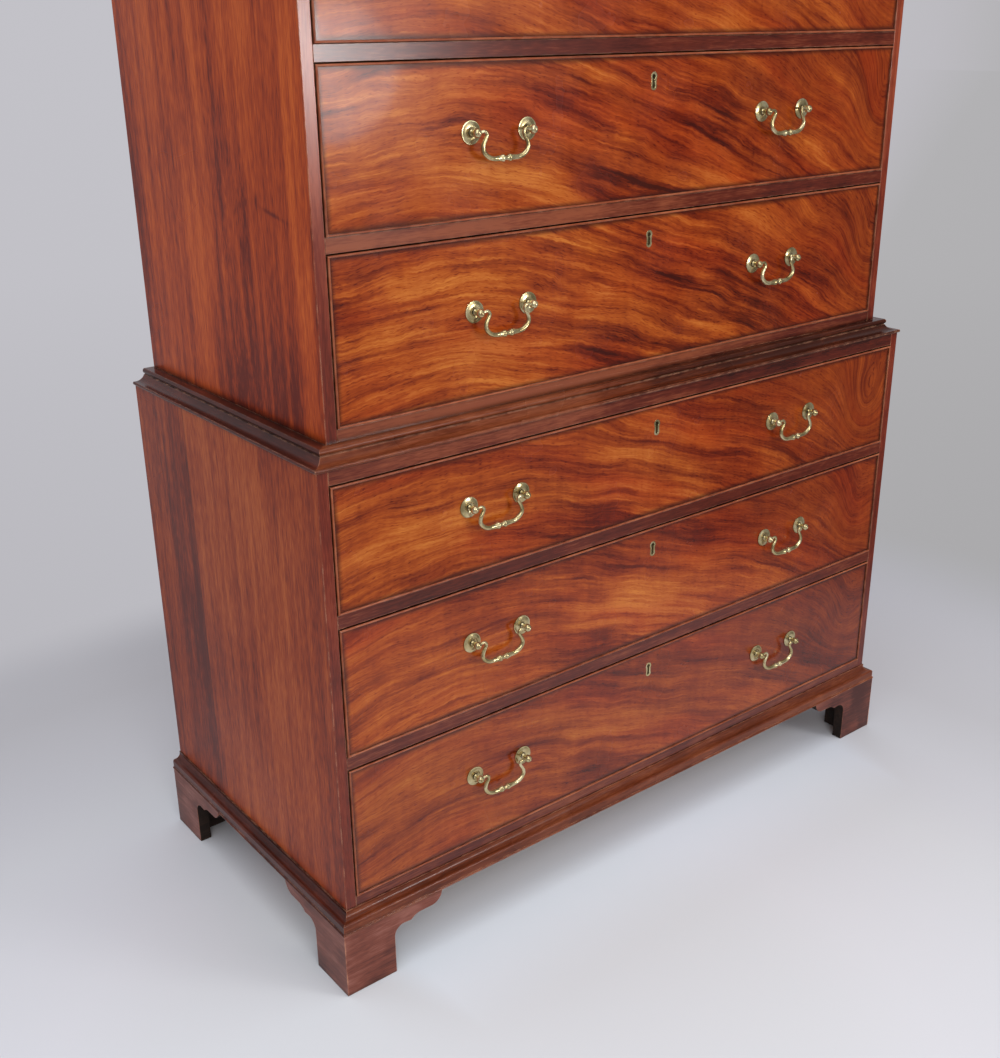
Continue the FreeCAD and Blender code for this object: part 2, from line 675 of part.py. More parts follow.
def drawer(name, x0, x1, z0, height, face, handle_xs):
    z1 = z0 + height
    middle_x = (x0 + x1) / 2
    handle_z = z0 + height / 2 + handle_rise
    back = face + front_thickness
    end = back_y - back_board_thickness - drawer_back_gap
    lining_top = z1 - bead_thickness - lining_drop
    bottom_z = z0 + drawer_bottom_height
    bottom_top = bottom_z + drawer_bottom_thickness
    back_top = lining_top - back_drop
    tip_y = face + dovetail_lap
    back_y0 = end - lining_thickness

    bottom = box(x0 + lining_thickness - groove_depth, x1 - lining_thickness + groove_depth,
                 back - groove_depth, end, bottom_z, bottom_top)
    sides = []
    sockets = []
    for edge in (x0, x1 - lining_thickness):
        inner = edge + lining_thickness
        joints = tails(edge, inner, back, tip_y, bottom_top, lining_top)
        joints += tails(edge, inner, back_y0, end, bottom_top, back_top)
        side = box(edge, inner, back, back_y0, z0, lining_top).multiFuse(joints).removeSplitter()
        sides.append(side.cut(bottom))
        sockets += joints
    back_board = box(x0, x1, back_y0, end, bottom_top, back_top)
    low, high, left, right = cock_beads(x0, x1, z0, z1, face)
    inside = face + bead_rebate
    front = box(x0, x1, inside, back, z0, z1 - bead_thickness)
    front = front.fuse(box(x0 + bead_thickness, x1 - bead_thickness, face, inside,
                           z0 + bead_thickness, z1 - bead_thickness)).removeSplitter()
    for socket in sockets:
        front = front.cut(socket)
        back_board = back_board.cut(socket)
    front = front.cut(bottom)
    runners = [box(edge, edge + runner_width, back + stop_gap + stop_depth, end, z0, bottom_z)
               for edge in (x0 + lining_thickness, x1 - lining_thickness - runner_width)]

    lock_top = z1 - bead_thickness
    key_top = z1 - keyhole_drop
    lock = lock_case(middle_x, face, lock_top)
    bolt = box(middle_x - bolt_width / 2, middle_x + bolt_width / 2, back - bolt_thickness - bolt_setback, back - bolt_setback,
               lock_top, lock_top + bead_thickness)
    liner_hole = keyhole(middle_x, face, key_top, 0.0, liner_depth)
    key_way = keyhole(middle_x, face, key_top, liner_rim, front_thickness - lock_thickness + key_depth_in_lock)
    liner = liner_hole.cut(key_way)
    front = front.cut(lock).cut(liner_hole).cut(key_way)
    lock = lock.cut(key_way)
    high = high.cut(bolt)

    brasses = [liner, lock, bolt]
    bails = []
    for x in handle_xs:
        brasses += handle_solids(x, face, handle_z)
        bails.append(moved(bail, x, face, handle_z))
        for post_x in (x - post_spacing / 2, x + post_spacing / 2):
            front = front.cut(Part.makeCylinder(shank_radius + shank_clearance, front_thickness,
                                                at(post_x, face, handle_z), at(0, 1, 0)))
    write(name + "_front", [front, low, high, left, right])
    write(name + "_box", sides + [back_board, bottom] + runners)
    write(name + "_brasses", brasses)
    if len(bails) == 1:
        write(name + "_bail", bails)
    else:
        write(name + "_left_bail", bails[:1])
        write(name + "_right_bail", bails[1:])


def drawers():
    base_x = base_half - side_thickness - drawer_side_gap
    upper_x = upper_half - side_thickness - drawer_side_gap
    short_x = partition_thickness / 2 + drawer_side_gap
    base_handles = [-base_handle_offset, base_handle_offset]
    upper_handles = [-upper_handle_offset, upper_handle_offset]
    low = drawer_bottom_gap
    step = rail_thickness + drawer_bottom_gap
    drawer("base_bottom_drawer", -base_x, base_x, base_floor_z + low, base_bottom_drawer_height,
           base_front_y, base_handles)
    drawer("base_middle_drawer", -base_x, base_x, base_rail_1_z + step, base_middle_drawer_height,
           base_front_y, base_handles)
    drawer("base_top_drawer", -base_x, base_x, base_rail_2_z + step, base_top_drawer_height,
           base_front_y, base_handles)
    drawer("upper_bottom_drawer", -upper_x, upper_x, upper_floor_z + low, upper_bottom_drawer_height,
           upper_front_y, upper_handles)
    drawer("upper_middle_drawer", -upper_x, upper_x, upper_rail_1_z + step, upper_middle_drawer_height,
           upper_front_y, upper_handles)
    drawer("upper_top_drawer", -upper_x, upper_x, upper_rail_2_z + step, upper_top_drawer_height,
           upper_front_y, upper_handles)
    short_middle = (short_x + upper_x) / 2
    drawer("left_short_drawer", -upper_x, -short_x, upper_rail_3_z + step, short_drawer_height,
           upper_front_y, [-short_middle])
    drawer("right_short_drawer", short_x, upper_x, upper_rail_3_z + step, short_drawer_height,
           upper_front_y, [short_middle])


base_case()
feet()
upper_case()
drawers()

os.makedirs("parts", exist_ok=True)
for name, shape in nodes.items():
    shape.exportStep("parts/" + name + ".step")
print(len(nodes), "nodes,", sum(len(shape.Solids) for shape in nodes.values()), "solids")
print("height", round(total_height, 1), "from", round(base_front_y - front_reach, 2), "to", round(back_y, 2))
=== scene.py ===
import json
import math
import bpy
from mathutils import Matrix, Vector


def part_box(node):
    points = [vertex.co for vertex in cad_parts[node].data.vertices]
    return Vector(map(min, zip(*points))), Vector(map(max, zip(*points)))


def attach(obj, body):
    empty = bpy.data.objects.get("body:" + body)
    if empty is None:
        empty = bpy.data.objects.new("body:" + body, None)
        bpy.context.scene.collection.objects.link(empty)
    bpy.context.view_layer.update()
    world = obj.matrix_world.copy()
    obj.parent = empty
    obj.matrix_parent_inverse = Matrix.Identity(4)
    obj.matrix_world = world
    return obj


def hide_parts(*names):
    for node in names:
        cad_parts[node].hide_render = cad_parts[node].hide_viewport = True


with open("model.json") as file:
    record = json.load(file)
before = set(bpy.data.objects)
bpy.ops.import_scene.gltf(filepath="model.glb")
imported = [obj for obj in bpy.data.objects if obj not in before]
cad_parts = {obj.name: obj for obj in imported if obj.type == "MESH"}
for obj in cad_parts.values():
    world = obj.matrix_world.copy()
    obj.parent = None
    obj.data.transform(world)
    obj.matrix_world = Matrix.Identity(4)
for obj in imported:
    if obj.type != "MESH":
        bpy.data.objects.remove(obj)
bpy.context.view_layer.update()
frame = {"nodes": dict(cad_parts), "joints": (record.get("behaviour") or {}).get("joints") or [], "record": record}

# Chest on chest in mahogany: materials, turned and cast brasses, eased woodwork, stage, lamps and camera.
# Metres, in the frame of the CAD model. +Z is up and the drawers pull out towards -Y.
mm = 0.001
nodes = frame["nodes"]
pins = {joint["child"]: Vector(joint["pos_m"]) for joint in frame["joints"] if joint["type"] == "hinge"}
bodyOf = {node: body for body, group in frame["record"]["behaviour"]["bodies"].items() for node in group}
drawers = sorted(node[:-len("_front")] for node in nodes if node.endswith("_front"))
print("frame loaded:", len(nodes), "nodes,", len(drawers), "drawers")

meshRules = {
    "weld": 0.002 * mm, "turnedWeld": 0.005 * mm,   # points nearer than this become one
    "flat": 0.4,                       # degrees: faces this near to one plane become one
    "easeFrom": 28,                    # corners sharper than this are eased,
    "crispWood": 34, "crispBrass": 45,  # and sharper than this they don't shade as one curve
    "faceWeight": 80,                  # how much the large faces rule the shading
    "tubeSteps": 5, "tubeSides": 6,    # how finely the bails' limbs are made
}
straightOn, mostly, partly = 0.99, 0.7, 0.5   # how squarely a face looks along an axis
mostNoise = (0.3, 0.7)                 # nearly all of a noise lies between these
polishIndex = 1.45


def deselectAll():
    if bpy.context.mode != "OBJECT":
        bpy.ops.object.mode_set(mode="OBJECT")
    bpy.ops.object.select_all(action="DESELECT")


def activate(piece):
    deselectAll()
    piece.select_set(True)
    bpy.context.view_layer.objects.active = piece


def openEdit(piece, everything=True):
    activate(piece)
    bpy.ops.object.mode_set(mode="EDIT")
    bpy.ops.mesh.select_mode(type="VERT")
    bpy.ops.mesh.select_all(action="SELECT" if everything else "DESELECT")


def closeEdit():
    bpy.ops.object.mode_set(mode="OBJECT")


def pickFaces(piece, test):
    # selects the faces that pass test(centre, normal), and goes back to edit mode
    bpy.ops.object.mode_set(mode="OBJECT")
    mesh = piece.data
    for part in (mesh.vertices, mesh.edges):
        part.foreach_set("select", [False] * len(part))
    for face in mesh.polygons:
        face.select = bool(test(face.center, face.normal))
    bpy.ops.object.mode_set(mode="EDIT")
    bpy.ops.mesh.select_mode(type="FACE")


def joinPieces(name, parts):
    deselectAll()
    for part in parts:
        part.select_set(True)
    bpy.context.view_layer.objects.active = parts[0]
    bpy.ops.object.join()
    parts[0].name = name
    return parts[0]


def settle(piece):
    # the finished piece sits at the origin, unturned and unscaled
    activate(piece)
    bpy.ops.object.transform_apply(location=True, rotation=True, scale=True)
    return piece


def copyPiece(piece, name, shift=(0, 0, 0)):
    twin = bpy.data.objects.new(name, piece.data.copy())
    bpy.context.scene.collection.objects.link(twin)
    twin.location = shift
    return settle(twin)


def modify(piece, kind, **values):
    activate(piece)
    modifier = piece.modifiers.new(kind.title(), kind)
    for key, value in values.items():
        setattr(modifier, key, value)
    bpy.ops.object.modifier_apply(modifier=modifier.name)


def mergedCopy(node, name, drop=None):
    # a node's own shape as one closed mesh, with its flat faces whole again
    piece = bpy.data.objects.new(name, nodes[node].data.copy())
    bpy.context.scene.collection.objects.link(piece)
    piece.data.materials.clear()
    if drop:
        openEdit(piece, everything=False)
        pickFaces(piece, drop)
        bpy.ops.mesh.delete(type="FACE")
    openEdit(piece)
    bpy.ops.mesh.customdata_custom_splitnormals_clear()
    bpy.ops.mesh.remove_doubles(threshold=meshRules["weld"])
    bpy.ops.mesh.dissolve_limited(angle_limit=math.radians(meshRules["flat"]))
    closeEdit()
    return piece


def ease(piece, width, segments=2):
    modify(piece, "BEVEL", width=width, segments=segments, limit_method="ANGLE",
           angle_limit=math.radians(meshRules["easeFrom"]), use_clamp_overlap=True)
    activate(piece)
    bpy.ops.object.shade_smooth_by_angle(angle=math.radians(meshRules["crispWood"]))
    modify(piece, "WEIGHTED_NORMAL", mode="FACE_AREA", weight=meshRules["faceWeight"], keep_sharp=True)


def paint(piece, rules):
    # rules are (material, test(centre, normal)), and the last that passes holds
    for material, test in rules:
        piece.data.materials.append(material)
    for face in piece.data.polygons:
        for index, (material, test) in enumerate(rules):
            if test is None or test(face.center, face.normal):
                face.material_index = index


def turned(name, profile, steps):
    # turned about Y from (distance out towards -Y, radius) in millimetres
    bpy.ops.mesh.primitive_plane_add(size=mm, location=(0, 0, 0))
    piece = bpy.context.object
    piece.name = name
    openEdit(piece)
    bpy.ops.mesh.merge(type="CENTER")
    bpy.ops.transform.translate(value=(profile[0][1] * mm, -profile[0][0] * mm, 0))
    for (lastOut, lastRadius), (out, radius) in zip(profile, profile[1:]):
        step = ((radius - lastRadius) * mm, (lastOut - out) * mm, 0)
        bpy.ops.mesh.extrude_vertices_move(TRANSFORM_OT_translate={"value": step})
    bpy.ops.mesh.select_all(action="SELECT")
    bpy.ops.mesh.spin(steps=steps, angle=2 * math.pi, center=(0, 0, 0), axis=(0, 1, 0))
    bpy.ops.mesh.select_all(action="SELECT")
    bpy.ops.mesh.remove_doubles(threshold=meshRules["turnedWeld"])
    bpy.ops.mesh.normals_make_consistent(inside=False)
    closeEdit()
    activate(piece)
    bpy.ops.object.shade_smooth_by_angle(angle=math.radians(meshRules["crispBrass"]))
    return piece


def tube(name, points):
    # a smooth tube steered by (x, z, radius) in millimetres
    bpy.ops.curve.primitive_nurbs_path_add(radius=mm, location=(0, 0, 0))
    piece = bpy.context.object
    piece.name = name
    data = piece.data
    data.dimensions = "3D"
    data.resolution_u = meshRules["tubeSteps"]
    data.bevel_depth = mm
    data.bevel_resolution = meshRules["tubeSides"]
    data.use_fill_caps = True
    path = data.splines[0]
    path.points.add(len(points) - len(path.points))
    for knot, (x, z, radius) in zip(path.points, points):
        knot.co = (x * mm, 0, z * mm, 1)
        knot.radius = radius
    path.order_u = 4
    path.use_endpoint_u = True
    activate(piece)
    bpy.ops.object.convert(target="MESH")
    openEdit(bpy.context.object)
    bpy.ops.mesh.remove_doubles(threshold=meshRules["turnedWeld"])
    bpy.ops.mesh.normals_make_consistent(inside=False)
    closeEdit()
    bpy.ops.object.shade_smooth_by_angle(angle=math.radians(meshRules["crispBrass"]))
    return bpy.context.object


def tint(code):
    # "#rrggbb" as the linear colour that a shader takes
    parts = [int(code[i:i + 2], 16) / 255 for i in (1, 3, 5)]
    return tuple(c / 12.92 if c <= 0.04045 else ((c + 0.055) / 1.055) ** 2.4 for c in parts) + (1.0,)


def newMaterial(name):
    material = bpy.data.materials.new(name)
    material.use_nodes = True
    tree = material.node_tree
    return material, tree, tree.nodes["Principled BSDF"]


def feed(tree, socket, value):
    if isinstance(value, bpy.types.NodeSocket):
        tree.links.new(value, socket)
    else:
        socket.default_value = value


def addNode(tree, kind, **inputs):
    made = tree.nodes.new("ShaderNode" + kind)
    for key, value in inputs.items():
        feed(tree, made.inputs[key], value)
    return made


def calc(tree, operation, *values):
    made = tree.nodes.new("ShaderNodeMath")
    made.operation = operation
    for socket, value in zip(made.inputs, values):
        feed(tree, socket, value)
    return made.outputs[0]


def plus(tree, total, *others):
    for other in others:
        total = calc(tree, "ADD", total, other)
    return total


def minus(tree, value, other):
    return calc(tree, "SUBTRACT", value, other)


def times(tree, value, factor):
    return calc(tree, "MULTIPLY", value, factor)


def around(tree, value, amount):
    # a noise of 0 to 1 as a swing of plus or minus half the amount
    return calc(tree, "MULTIPLY_ADD", value, amount, -amount / 2)


def combine(tree, x, y, z):
    return addNode(tree, "CombineXYZ", X=x, Y=y, Z=z).outputs[0]


def noise(tree, vector, scale=1.0, detail=2.0, roughness=0.5):
    return addNode(tree, "TexNoise", Vector=vector, Scale=scale, Detail=detail, Roughness=roughness).outputs["Fac"]


def ramp(tree, factor, stops):
    made = addNode(tree, "ValToRGB", Fac=factor)
    elements = made.color_ramp.elements
    while len(elements) < len(stops):
        elements.new(0.5)
    for element, (place, colour) in zip(elements, stops):
        element.position = place
        element.color = colour
    return made.outputs["Color"]


def spread(tree, value, low, high, toLow=0.0, toHigh=1.0):
    made = addNode(tree, "MapRange", Value=value)
    made.interpolation_type = "SMOOTHSTEP"
    for key, number in (("From Min", low), ("From Max", high), ("To Min", toLow), ("To Max", toHigh)):
        made.inputs[key].default_value = number
    return made.outputs[0]


def blendColour(tree, mode, factor, a, b):
    made = tree.nodes.new("ShaderNodeMix")
    made.data_type = "RGBA"
    made.blend_type = mode
    feed(tree, made.inputs[0], factor)
    feed(tree, made.inputs[6], a)
    feed(tree, made.inputs[7], b)
    return made.outputs[2]


def curve(tree, value, points):
    # a smooth curve through points of 0 to 1
    made = addNode(tree, "FloatCurve", Value=value)
    line = made.mapping.curves[0]
    for number, (x, y) in enumerate(points):
        if number < 2:
            line.points[number].location = (x, y)
        else:
            line.points.new(x, y)
    made.mapping.update()
    return made.outputs[0]


def placeOf(tree, centre=(0, 0, 0)):
    # x, y and z of the surface from a centre
    where = addNode(tree, "TexCoord").outputs["Object"]
    shifted = addNode(tree, "Mapping", Vector=where)
    shifted.inputs["Location"].default_value = [-c for c in centre]
    split = addNode(tree, "SeparateXYZ", Vector=shifted.outputs[0])
    return split.outputs["X"], split.outputs["Y"], split.outputs["Z"]


def bump(tree, shader, height, distance, strength=0.6):
    made = addNode(tree, "Bump", Height=height, Distance=distance, Strength=strength)
    tree.links.new(made.outputs[0], shader.inputs["Normal"])


def setSockets(shader, **values):
    for key, value in values.items():
        shader.inputs[key.replace("_", " ")].default_value = value


figure = {
    "spanX": 0.55,                       # half the span that the sweep covers
    "sweep": [(0.0, 0.030), (0.15, 0.014), (0.25, 0.019), (0.35, 0.042), (0.6, 0.130),
              (0.7, 0.169), (0.85, 0.244), (1.0, 0.335)],
    "whorl": (0.49, 0.004), "whorlSpread": (0.036, 0.046), "whorlQuiet": (0.07, 0.09),
    "calm": (0.34, 0.06), "calmSpread": (0.13, 0.05), "calmShare": 0.42,
    "drift": (5.0, 9.0, 0.045),          # how the grain wanders: along, across and how far
    "ripple": (110.0, 60.0, 0.0036),     # short cross ripples leave the streaks with feathered edges
    "driftStep": 0.35, "streakStep": 0.3,    # how much they change from leaf to leaf
    "crispness": 0.6,
    # streaks of the wood: how often along and across the grain, detail, depth, shift
    "broad": (2.6, 14.0, 2.0, 0.68, 0.0),
    "middle": (4.2, 50.0, 4.0, 0.8, 5.0),
    "thin": (5.6, 150.0, 3.0, 0.38, 2.0),
    "fine": (18.0, 480.0, 2.0, 0.26, 9.0),
    "hairs": (80.0, 900.0, 1.0, 0.2, 14.0),
    # marks that show only where their streaks stand out: the streaks, from, to, tone at each
    "pores": ((130.0, 1000.0, 0.0, 1.0, 17.0), (-0.34, -0.1, -0.2, 0.0)),
    "darkLines": ((4.0, 80.0, 3.0, 1.0, 21.0), (0.0, 0.24, 0.0, -0.17)),
    "flames": ((4.0, 30.0, 4.0, 1.0, 41.0), (0.03, 0.2, 0.0, -0.24)),
    "glints": ((8.0, 190.0, 2.0, 1.0, 31.0), (0.04, 0.24, 0.0, 0.12)),
    "bars": (95.0, 16.0, 0.1),           # bars of light across the grain, as in fiddleback wood
    "mottle": (24.0, 0.25),
    "middleTone": 0.55,
    "dimRight": (0.08, 0.52, 0.1),       # darker by the last value between these distances to the right
    "stops": [(0.12, tint("#3c0f06")), (0.32, tint("#641d08")), (0.50, tint("#87330e")),
              (0.64, tint("#9e4514")), (0.84, tint("#b86124"))],
    "hueFlow": (4.0, 16.0), "endHue": 0.12,    # some of the wood is more golden, some redder, and both ends turn more golden, at the left end partly as a painted veil of sheen
    "hues": [(0.36, (1.0, 0.82, 0.82, 1)), (0.50, (1.0, 1.0, 1.0, 1)), (0.66, (1.14, 1.38, 1.35, 1))],
    "grime": tint("#2a0f0a"), "grimeEdge": (0.003, 0.011, 0.75, 0.0), "grimeRagged": 0.006,
    "smear": 14.0, "roughness": (0.18, 0.28), "coat": (0.16, 0.06), "relief": 0.05 * mm,
}


def blob(tree, x, z, centre, size):
    # 1 at the centre, falling off smoothly
    dx = calc(tree, "DIVIDE", minus(tree, x, centre[0]), size[0])
    dz = calc(tree, "DIVIDE", minus(tree, z, centre[1]), size[1])
    squares = plus(tree, times(tree, dx, dx), times(tree, dz, dz))
    return calc(tree, "EXPONENT", times(tree, squares, -0.5))


def addPatches(tree, level, x, z, patches):
    for middle, size, amount in patches:
        level = plus(tree, level, times(tree, blob(tree, x, z, middle, size), amount))
    return level


def figuredVeneer(name, centre, half, leaf, contrast, dim, gloss, pull, patches):
    material, tree, shader = newMaterial(name)
    x, y, z = placeOf(tree, centre)

    def flow(along, over, across, sheet=leaf):
        return combine(tree, times(tree, x, along), sheet, times(tree, across, over))

    sweep = curve(tree, calc(tree, "MULTIPLY_ADD", x, 0.5 / figure["spanX"], 0.5), figure["sweep"])
    whorl = times(tree, blob(tree, x, z, figure["whorl"], figure["whorlSpread"]), pull)
    along, over, swing = figure["drift"]
    drift = noise(tree, flow(along, over, z, leaf * figure["driftStep"]))
    across = plus(tree, z, sweep, whorl, around(tree, drift, swing))
    along, over, swing = figure["ripple"]
    across = plus(tree, across, around(tree, noise(tree, flow(along, over, across)), swing))

    def streaks(along, over, detail, depth, shift):
        vector = flow(along, over, across, leaf * figure["streakStep"] + shift)
        return around(tree, noise(tree, vector, detail=detail, roughness=figure["crispness"]), depth)

    def marks(key):
        layer, limits = figure[key]
        return spread(tree, streaks(*layer), *limits)

    middle = streaks(*figure["middle"])
    fine = plus(tree, streaks(*figure["fine"]), streaks(*figure["hairs"]), marks("pores"))
    along, over, swing = figure["bars"]
    bars = around(tree, noise(tree, flow(along, over, z)), swing)
    often, swing = figure["mottle"]
    mottle = around(tree, noise(tree, combine(tree, x, leaf, z), scale=often, detail=3.0), swing)
    quiet = calc(tree, "MAXIMUM", blob(tree, x, z, figure["calm"], figure["calmSpread"]),
                 blob(tree, x, z, figure["whorl"], figure["whorlQuiet"]))
    strong = plus(tree, streaks(*figure["broad"]), middle, streaks(*figure["thin"]),
                  marks("flames"), marks("darkLines"), marks("glints"))
    level = times(tree, strong, spread(tree, quiet, 0.0, 1.0, contrast, figure["calmShare"] * contrast))
    # paler or darker places, at the left ends partly painted sheen
    level = addPatches(tree, level, x, z, patches)
    near, far, dimming = figure["dimRight"]
    tone = figure["middleTone"]
    level = plus(tree, level, fine, mottle, bars, spread(tree, x, near, far, tone, tone - dimming))
    stops = [(place, [dim * part for part in shade[:3]] + [1]) for place, shade in figure["stops"]]
    colour = ramp(tree, level, stops)
    hue = noise(tree, flow(*figure["hueFlow"], across))
    # towards both ends more golden; at the left this is partly a painted veil of sheen
    hue = plus(tree, hue, spread(tree, calc(tree, "ABSOLUTE", x), near, far, 0.0, figure["endHue"]))
    colour = blendColour(tree, "MULTIPLY", 1.0, colour, ramp(tree, hue, figure["hues"]))
    # old polish and dirt gather against the cock beads
    fromEnd = minus(tree, half[0], calc(tree, "ABSOLUTE", x))
    fromLong = minus(tree, half[1], calc(tree, "ABSOLUTE", z))
    inset = calc(tree, "MINIMUM", fromEnd, fromLong)
    ragged = plus(tree, inset, around(tree, drift, figure["grimeRagged"]))
    dirt = spread(tree, ragged, *figure["grimeEdge"])
    colour = blendColour(tree, "MIX", dirt, colour, figure["grime"])
    tree.links.new(colour, shader.inputs["Base Color"])
    smear = noise(tree, combine(tree, x, y, z), scale=figure["smear"], detail=3.0)
    tree.links.new(spread(tree, smear, *mostNoise, *figure["roughness"]), shader.inputs["Roughness"])
    coat, coatRoughness = figure["coat"]
    setSockets(shader, IOR=polishIndex, Specular_IOR_Level=gloss, Coat_Weight=coat, Coat_Roughness=coatRoughness)
    bump(tree, shader, plus(tree, fine, middle), figure["relief"])
    return material


shadeSamples = {"openness": 6, "edge": 4}


def openness(tree, distance):
    # 1 in the open, less in a corner or a groove
    shade = addNode(tree, "AmbientOcclusion", Distance=distance)
    shade.samples = shadeSamples["openness"]
    return shade.outputs["AO"]


def edgeMask(tree, radius):
    # above 0 beside an edge
    softened = addNode(tree, "Bevel", Radius=radius)
    softened.samples = shadeSamples["edge"]
    dot = tree.nodes.new("ShaderNodeVectorMath")
    dot.operation = "DOT_PRODUCT"
    feed(tree, dot.inputs[0], softened.outputs[0])
    feed(tree, dot.inputs[1], addNode(tree, "NewGeometry").outputs["True Normal"])
    return minus(tree, 1.0, dot.outputs["Value"])


def stroke(tree, across, along, mark):
    # 1 along a short tapering mark of the wood
    (midAcross, midAlong), size, slope = mark
    shift = minus(tree, across, midAcross)
    rise = minus(tree, minus(tree, along, midAlong), times(tree, shift, slope))
    return blob(tree, shift, rise, (0, 0), size)


woodDefaults = {
    "wanderScale": 3.0, "cloudScale": 9.0, "cloudDepth": 0.3, "markDepth": 0.3,
    "joints": [], "cathedrals": [], "patches": [], "marks": [], "jointCore": 0.2, "jointDark": 0.75,
    "boardShift": 1.7, "boardTurn": 2.3,             # each board's own figure and tone
    "grimeReach": 9 * mm, "grimeFrom": (0.42, 0.96), "grimeRagged": 0.25,
    "wearReach": 1.6 * mm, "wearFrom": (0.006, 0.07), "wearScale": 70.0, "wearGaps": (0.36, 0.66, 0.1),
}


def plainWood(name, ownLook):
    # long straight grain along one axis, with broad bands, streaks, short pores, dirt and painted shade in its
    # hollows, and worn arrises
    look = {**woodDefaults, **ownLook}
    material, tree, shader = newMaterial(name)
    split = placeOf(tree)
    axes = dict(zip("XYZ", split))
    grain = axes.pop(look["grain"])
    side, other = axes.values()
    wander = noise(tree, combine(tree, *(times(tree, part, look["wanderScale"]) for part in split)))
    swing = around(tree, wander, look["wander"])
    pastJoint = [calc(tree, "GREATER_THAN", other, place) for place, width, step in look["joints"]]
    swing = plus(tree, swing, *pastJoint)
    for centre, size, pull in look["cathedrals"]:
        # nested arches, where the saw met the heart of the tree
        flank = calc(tree, "ABSOLUTE", minus(tree, other, centre[0]))
        fall = times(tree, minus(tree, grain, centre[1]), pull)
        swing = plus(tree, swing, times(tree, blob(tree, other, grain, centre, size), plus(tree, flank, fall)))
    tone = 0.5
    if "boards" in look:
        # boards side by side, each with a figure and a tone of its own
        start, pitch, difference = look["boards"]
        index = calc(tree, "FLOOR", calc(tree, "DIVIDE", minus(tree, side, start), pitch))
        swing = calc(tree, "MULTIPLY_ADD", index, look["boardShift"], swing)
        wave = calc(tree, "SINE", times(tree, index, look["boardTurn"]))
        tone = plus(tree, times(tree, wave, difference), tone)
    side = plus(tree, side, swing)

    def layer(key, detail, shift):
        length, width = look[key]
        vector = combine(tree, calc(tree, "MULTIPLY_ADD", side, 1 / width, shift),
                         calc(tree, "MULTIPLY_ADD", other, 1 / width, shift), times(tree, grain, 1 / length))
        return around(tree, noise(tree, vector, detail=detail), look[key[:-1] + "Depth"])

    bands, streaks, pores = layer("bands", 2.0, 0.0), layer("streaks", 3.0, 7.0), layer("pores", 1.0, 3.0)
    cloud = noise(tree, combine(tree, *split), scale=look["cloudScale"], detail=3.0)
    level = plus(tree, bands, streaks, pores, tone, around(tree, cloud, look["cloudDepth"]))
    for past, (place, width, step) in zip(pastJoint, look["joints"]):
        level = minus(tree, level, times(tree, past, step))
    # paler or darker places; on the rails, stile and front mouldings these are painted sheen and painted shade
    level = addPatches(tree, level, other, grain, look["patches"])
    for mark in look["marks"]:
        level = minus(tree, level, times(tree, stroke(tree, other, grain, mark), look["markDepth"]))
    colour = ramp(tree, level, look["stops"])
    if "grime" in look:
        # dirt and painted shade: darker where the surface is hemmed in, in corners, grooves and quirks
        hollow = plus(tree, openness(tree, look["grimeReach"]), around(tree, cloud, look["grimeRagged"]))
        dirt = spread(tree, hollow, *look["grimeFrom"], look["grimeDepth"], 0.0)
        colour = blendColour(tree, "MIX", dirt, colour, look["grime"])
        rubbed = noise(tree, combine(tree, *split), scale=look["wearScale"], detail=3.0)
        rubbed = times(tree, spread(tree, edgeMask(tree, look["wearReach"]), *look["wearFrom"]),
                       spread(tree, rubbed, *look["wearGaps"], look["wearDepth"]))
        colour = blendColour(tree, "MIX", rubbed, colour, look["wear"])
    for place, width, step in look["joints"]:
        # a thin dark line where two boards meet
        gap = calc(tree, "ABSOLUTE", minus(tree, other, place))
        line = spread(tree, gap, look["jointCore"] * width, width, look["jointDark"], 0.0)
        colour = blendColour(tree, "MIX", line, colour, look["grime"])
    tree.links.new(colour, shader.inputs["Base Color"])
    tree.links.new(spread(tree, wander, *mostNoise, *look["roughness"]), shader.inputs["Roughness"])
    setSockets(shader, IOR=polishIndex, Specular_IOR_Level=look["gloss"])
    bump(tree, shader, plus(tree, pores, streaks), look["relief"])
    return material


def threeTones(dark, middle, pale):
    return [(0.2, tint(dark)), (0.5, tint(middle)), (0.8, tint(pale))]


# bands, streaks and pores are (length, width) in metres; patches are (middle, size, amount), across and along
# the grain, and marks are (middle, size, slope)
# grime is the colour of dirt and painted shade in hollows and of dark joints; wear is the colour of worn arrises
aged = {"grime": tint("#150a07"), "grimeDepth": 0.85, "wear": tint("#b98263"), "wearDepth": 0.75}
caseLook = {
    **aged, "grain": "X", "wander": 0.02, "bands": (0.6, 0.03), "bandDepth": 0.4,
    "streaks": (0.12, 0.006), "streakDepth": 0.5, "pores": (0.016, 0.0015), "poreDepth": 0.4,
    "roughness": (0.2, 0.32), "gloss": 0.3, "relief": 0.05 * mm, "cloudDepth": 0.45, "cloudScale": 14.0,
    "stops": threeTones("#38110a", "#622413", "#843d26"),
}
railLook = {
    **caseLook, "roughness": (0.14, 0.22), "gloss": 0.5, "stops": threeTones("#320f08", "#5a2012", "#854428"),
    # the paler left ends are painted sheen, the darker right ends and middles painted shade
    "patches": [((1.009, -0.34), (0.012, 0.24), 0.34), ((1.009, 0.3), (0.012, 0.2), -0.12),
                ((1.214, 0.05), (0.012, 0.3), -0.12), ((0.555, 0.0), (0.012, 0.5), -0.1),
                ((0.785, -0.24), (0.012, 0.25), 0.4), ((0.75, -0.2), (0.012, 0.2), 0.22),
                ((0.75, 0.28), (0.012, 0.25), -0.3)],
}
stileLook = {
    # the paler patch high on the upper stile is a painted sheen
    **railLook, "grain": "Z", "gloss": 0.45, "patches": [((-0.23, 1.16), (0.1, 0.12), 0.3)],
    "stops": threeTones("#3c130a", "#6a2514", "#8d4026"),
}
